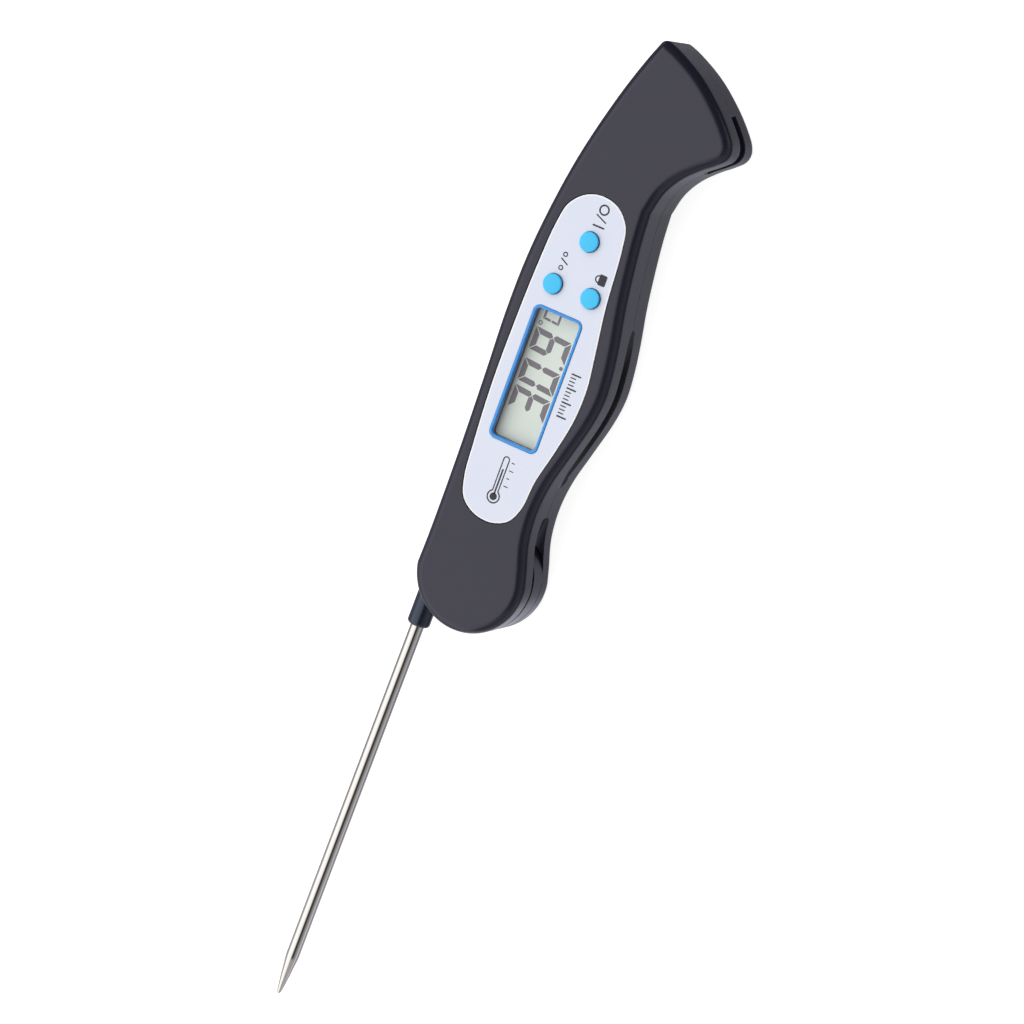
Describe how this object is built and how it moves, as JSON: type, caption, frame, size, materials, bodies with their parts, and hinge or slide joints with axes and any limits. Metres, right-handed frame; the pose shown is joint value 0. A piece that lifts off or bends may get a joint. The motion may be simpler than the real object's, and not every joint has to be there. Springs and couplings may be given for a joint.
{
  "type": "folding digital meat thermometer",
  "caption": "Knife-handle meat thermometer: a pointed steel probe swings out of a moulded handle with a display, round push buttons and a coin-slot battery door on the back",
  "frame": {"origin": "where the probe's pivot axis meets the flat back of the handle", "axes": "+X from the pivot to the tail of the handle, +Y towards the spine, +Z out of the display face; the object lies on its back with the probe swung fully out along -X"},
  "size_m": [0.2605, 0.0399, 0.019],
  "materials": {
    "battery_cell": "plated steel can",
    "battery_door": "fine matt moulding",
    "button_cap_hold": "satin cyan",
    "button_cap_power": "satin cyan",
    "button_cap_unit": "satin cyan",
    "case_screw_1": "plated steel",
    "case_screw_2": "plated steel",
    "case_screw_3": "plated steel",
    "case_screw_4": "plated steel",
    "chip_cover": "black epoxy",
    "circuit_board": "green solder mask",
    "contact_negative": "plated spring metal",
    "contact_positive": "plated spring metal",
    "contact_strip_finger": "silicone contact strip",
    "contact_strip_spine": "silicone contact strip",
    "display_frame": "satin blue",
    "display_window": "clear acrylic",
    "door_seal": "soft black rubber",
    "face_plate": "satin pale plate",
    "front_shell": "fine matt moulding",
    "lcd_front_glass": "grey-green display glass",
    "lcd_holder": "natural white moulding",
    "lcd_rear_glass": "grey-green display glass",
    "pivot_pin": "ground steel",
    "probe_hub": "semi-gloss moulding",
    "probe_tube": "polished stainless steel",
    "rear_shell": "fine matt moulding",
    "sensor_bead": "resin-coated bead",
    "sensor_lead_1": "insulated lead",
    "sensor_lead_2": "insulated lead",
    "switch_body_hold": "black moulding",
    "switch_body_power": "black moulding",
    "switch_body_unit": "black moulding",
    "switch_stem_hold": "pale moulding",
    "switch_stem_power": "pale moulding",
    "switch_stem_unit": "pale moulding",
    "wave_washer": "spring steel"
  },
  "bodies": {
    "handle": {"battery_cell": "battery_cell", "case_screw_1": "case_screw_1", "case_screw_2": "case_screw_2", "case_screw_3": "case_screw_3", "case_screw_4": "case_screw_4", "chip_cover": "chip_cover", "circuit_board": "circuit_board", "contact_negative": "contact_negative", "contact_positive": "contact_positive", "contact_strip_finger": "contact_strip_finger", "contact_strip_spine": "contact_strip_spine", "display_frame": "display_frame", "display_window": "display_window", "door_seal": "door_seal", "face_plate": "face_plate", "front_shell": "front_shell", "lcd_front_glass": "lcd_front_glass", "lcd_holder": "lcd_holder", "lcd_rear_glass": "lcd_rear_glass", "pivot_pin": "pivot_pin", "rear_shell": "rear_shell", "switch_body_hold": "switch_body_hold", "switch_body_power": "switch_body_power", "switch_body_unit": "switch_body_unit", "wave_washer": "wave_washer"},
    "probe_arm": {"probe_hub": "probe_hub", "probe_tube": "probe_tube", "sensor_bead": "sensor_bead", "sensor_lead_1": "sensor_lead_1", "sensor_lead_2": "sensor_lead_2"},
    "power_button": {"button_cap_power": "button_cap_power", "switch_stem_power": "switch_stem_power"},
    "unit_button": {"button_cap_unit": "button_cap_unit", "switch_stem_unit": "switch_stem_unit"},
    "hold_button": {"button_cap_hold": "button_cap_hold", "switch_stem_hold": "switch_stem_hold"},
    "door": {"battery_door": "battery_door"}
  },
  "joints": [
    {"name": "probe_fold", "type": "hinge", "parent": "handle", "child": "probe_arm", "pos_m": [0, 0, 0.0085], "axis": [0, 0, 1], "range_deg": [0, 176]},
    {"name": "power_press", "type": "slide", "parent": "handle", "child": "power_button", "axis": [0, 0, -1], "range_m": [0, 0.00035], "stiffness_N_per_m": 20, "springref_m": -0.002},
    {"name": "unit_press", "type": "slide", "parent": "handle", "child": "unit_button", "axis": [0, 0, -1], "range_m": [0, 0.00035], "stiffness_N_per_m": 20, "springref_m": -0.002},
    {"name": "hold_press", "type": "slide", "parent": "handle", "child": "hold_button", "axis": [0, 0, -1], "range_m": [0, 0.00035], "stiffness_N_per_m": 20, "springref_m": -0.002},
    {"name": "door_turn", "type": "hinge", "parent": "handle", "child": "door", "pos_m": [0.0885, 0.0008, 0], "axis": [0, 0, 1], "range_deg": [0, 58]}
  ]
}
